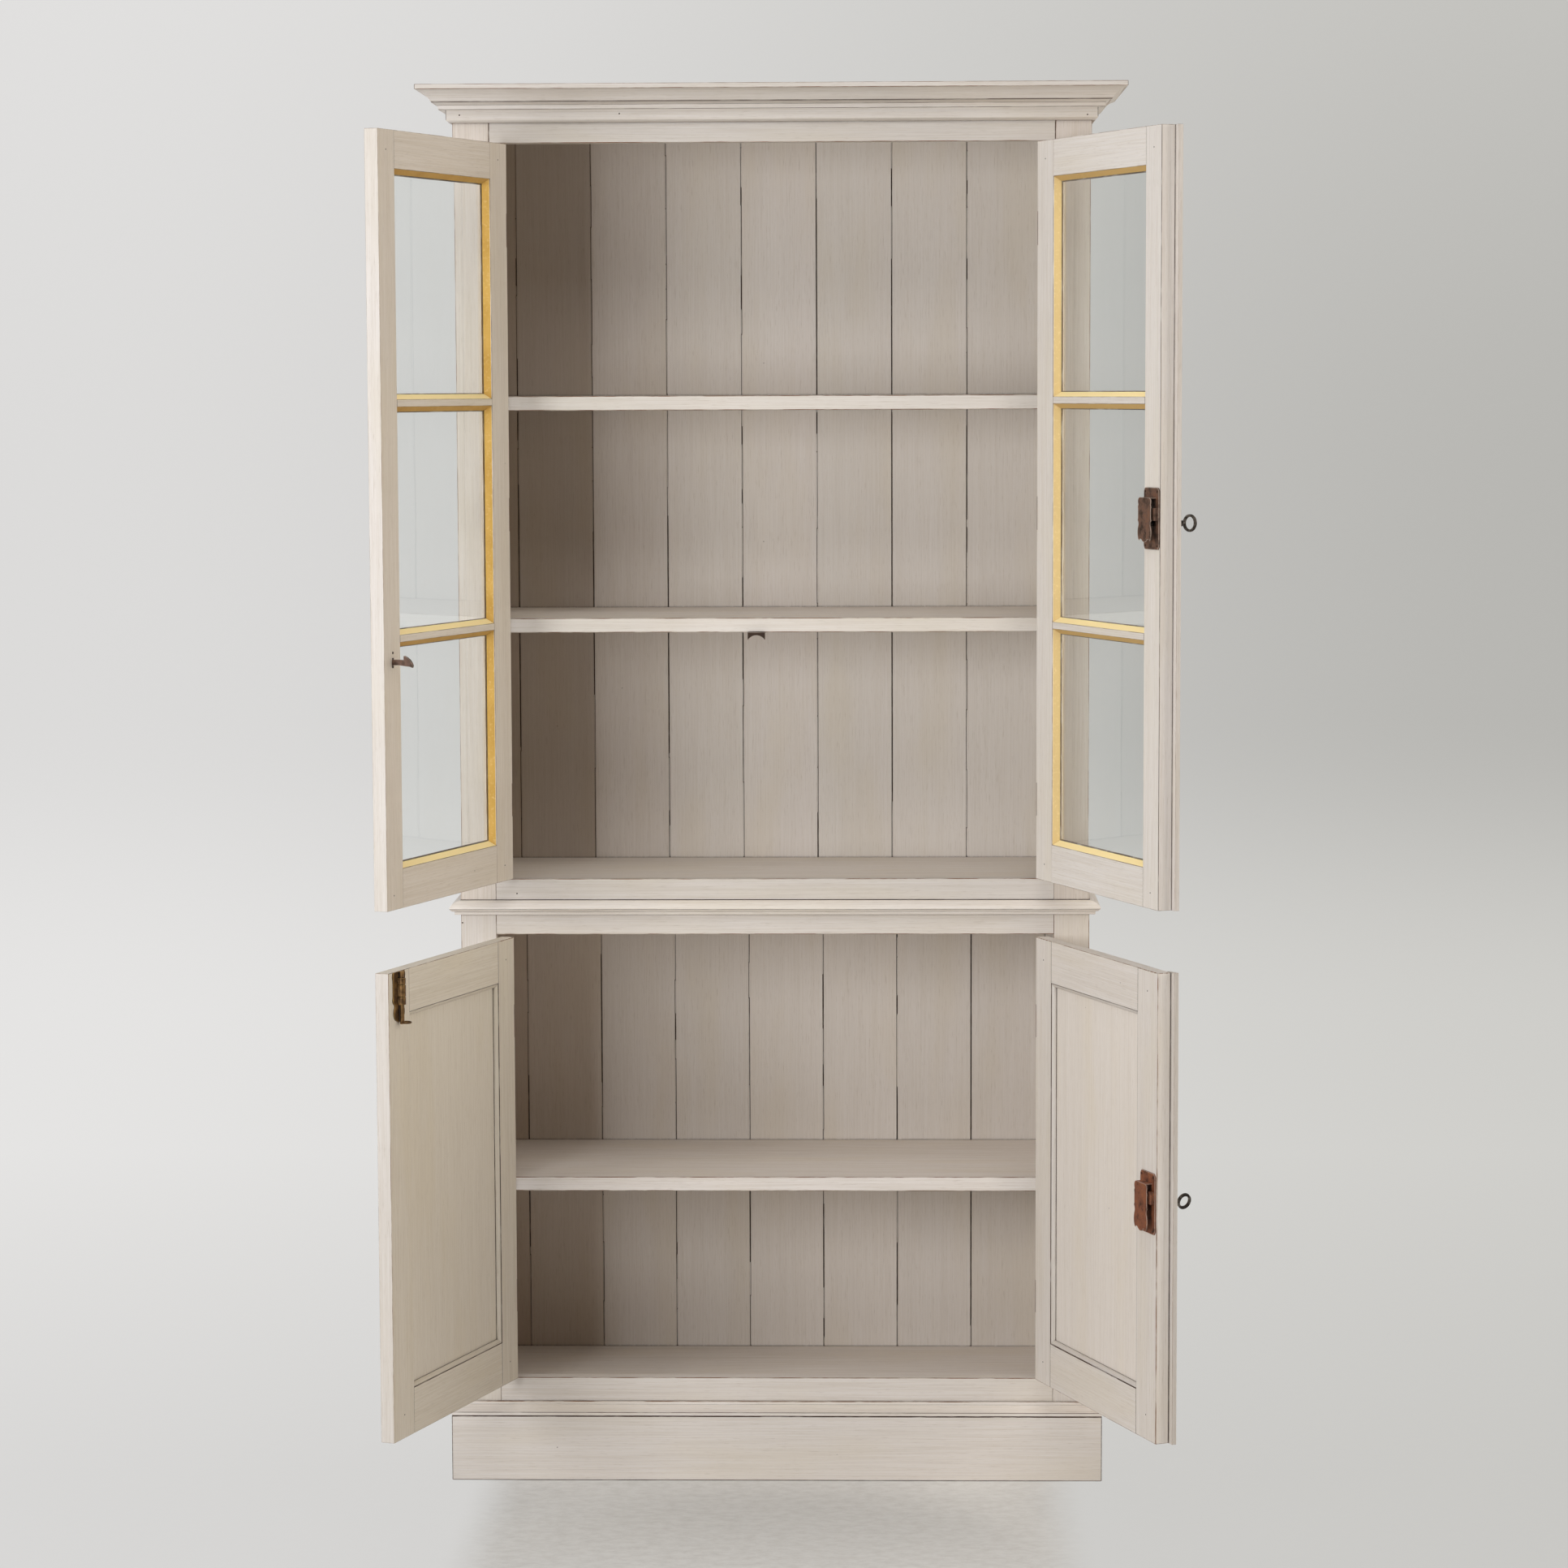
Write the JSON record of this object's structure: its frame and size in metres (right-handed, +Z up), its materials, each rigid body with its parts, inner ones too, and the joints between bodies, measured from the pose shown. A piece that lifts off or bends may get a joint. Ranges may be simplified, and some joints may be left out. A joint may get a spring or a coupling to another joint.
{
  "type": "display cabinet",
  "caption": "Two-part display cabinet in worn off-white paint, glazed doors above and panelled doors below, all standing open",
  "frame": {"origin": "On the floor at mid width, in the plane of the front of the face frame, on the underside of the front plinth board", "axes": "+X to the right seen from the front, +Y from the front into the cabinet, +Z up"},
  "size_m": [1.1226, 0.7589, 2.0375],
  "materials": {
    "painted_pine": "pine brushed with warm off-white paint, grain showing, edges rubbed through",
    "glass": "clear drawn sheet glass, slightly green",
    "putty": "linseed putty, dried and ochre yellow",
    "rusted_steel": "sheet steel, browned with rust",
    "black_iron": "dark forged iron, worn bright in places",
    "aged_brass": "old brass, darkened in the hollows"
  },
  "bodies": {
    "cabinet": {"cornice_front": "painted_pine", "cornice_returns": "painted_pine", "upper_top_board": "painted_pine", "upper_sides": "painted_pine", "upper_floor_board": "painted_pine", "upper_stiles": "painted_pine", "upper_frieze_rail": "painted_pine", "upper_base_rail": "painted_pine", "upper_back_boards": "painted_pine", "upper_shelf": "painted_pine", "middle_shelf": "painted_pine", "lower_top_board": "painted_pine", "waist_front": "painted_pine", "waist_returns": "painted_pine", "lower_sides": "painted_pine", "lower_stiles": "painted_pine", "lower_head_rail": "painted_pine", "lower_base_rail": "painted_pine", "lower_floor_board": "painted_pine", "lower_back_boards": "painted_pine", "lower_shelf": "painted_pine", "plinth_front": "painted_pine", "plinth_sides": "painted_pine", "plinth_back": "painted_pine", "plinth_cap_front": "painted_pine", "plinth_cap_returns": "painted_pine", "catch_keeper": "rusted_steel", "frame_hinge_leaves": "rusted_steel", "hinge_pins": "rusted_steel"},
    "upper_left_door": {"upper_left_frame": "painted_pine", "upper_left_bars": "painted_pine", "upper_left_panes": "glass", "upper_left_putty": "putty", "upper_left_leaves": "rusted_steel", "catch_pivot": "rusted_steel"},
    "catch_lever": {"catch_hook": "rusted_steel"},
    "upper_right_door": {"upper_right_frame": "painted_pine", "upper_right_bars": "painted_pine", "upper_right_panes": "glass", "upper_right_putty": "putty", "upper_right_leaves": "rusted_steel", "upper_astragal": "painted_pine", "upper_lock_case": "rusted_steel"},
    "upper_bolt": {"upper_lock_bolt": "rusted_steel"},
    "upper_turning_key": {"upper_key": "black_iron"},
    "lower_left_door": {"lower_left_frame": "painted_pine", "lower_left_panel": "painted_pine", "lower_left_beads": "painted_pine", "lower_left_leaves": "rusted_steel", "surface_bolt_plate": "aged_brass"},
    "bolt_rod": {"surface_bolt_rod": "aged_brass"},
    "lower_right_door": {"lower_right_frame": "painted_pine", "lower_right_panel": "painted_pine", "lower_right_beads": "painted_pine", "lower_right_leaves": "rusted_steel", "lower_astragal": "painted_pine", "lower_lock_case": "rusted_steel"},
    "lower_bolt": {"lower_lock_bolt": "rusted_steel"},
    "lower_turning_key": {"lower_key": "black_iron"}
  },
  "joints": [
    {"name": "upper_left_door_swing", "type": "hinge", "parent": "cabinet", "child": "upper_left_door", "pos_m": [-0.40625, -0.008, 1.424], "axis": [0, 0, 1], "range_deg": [-65, 110]},
    {"name": "upper_right_door_swing", "type": "hinge", "parent": "cabinet", "child": "upper_right_door", "pos_m": [0.40625, -0.008, 1.424], "axis": [0, 0, -1], "range_deg": [-63, 112]},
    {"name": "lower_left_door_swing", "type": "hinge", "parent": "cabinet", "child": "lower_left_door", "pos_m": [-0.40625, -0.008, 0.48], "axis": [0, 0, 1], "range_deg": [-65, 110]},
    {"name": "lower_right_door_swing", "type": "hinge", "parent": "cabinet", "child": "lower_right_door", "pos_m": [0.40625, -0.008, 0.48], "axis": [0, 0, -1], "range_deg": [-63, 112]},
    {"name": "upper_key_turn", "type": "hinge", "parent": "upper_right_door", "child": "upper_turning_key", "pos_m": [0.54371, -0.36959, 1.42], "axis": [0.9272, 0.3746, 0], "range_deg": [0, 180]},
    {"name": "upper_bolt_slide", "type": "slide", "parent": "upper_right_door", "child": "upper_bolt", "axis": [0.3746, -0.9272, 0], "range_m": [0, 0.008]},
    {"name": "lower_key_turn", "type": "hinge", "parent": "lower_right_door", "child": "lower_turning_key", "pos_m": [0.53997, -0.36031, 0.484], "axis": [0.9272, 0.3746, 0], "range_deg": [0, 180]},
    {"name": "lower_bolt_slide", "type": "slide", "parent": "lower_right_door", "child": "lower_bolt", "axis": [0.3746, -0.9272, 0], "range_m": [0, 0.008]},
    {"name": "surface_bolt_slide", "type": "slide", "parent": "lower_left_door", "child": "bolt_rod", "axis": [0, 0, 1], "range_m": [0, 0.015]},
    {"name": "catch_hook_tilt", "type": "hinge", "parent": "upper_left_door", "child": "catch_lever", "pos_m": [-0.51734, -0.37169, 1.233], "axis": [-0.342, -0.9397, 0], "range_deg": [-10, 10], "stiffness_Nm_per_rad": 0.3}
  ],
  "couplings": [
    {"joint": "upper_bolt_slide", "follows": "upper_key_turn", "m_per_rad": 0.0025465},
    {"joint": "lower_bolt_slide", "follows": "lower_key_turn", "m_per_rad": 0.0025465}
  ]
}
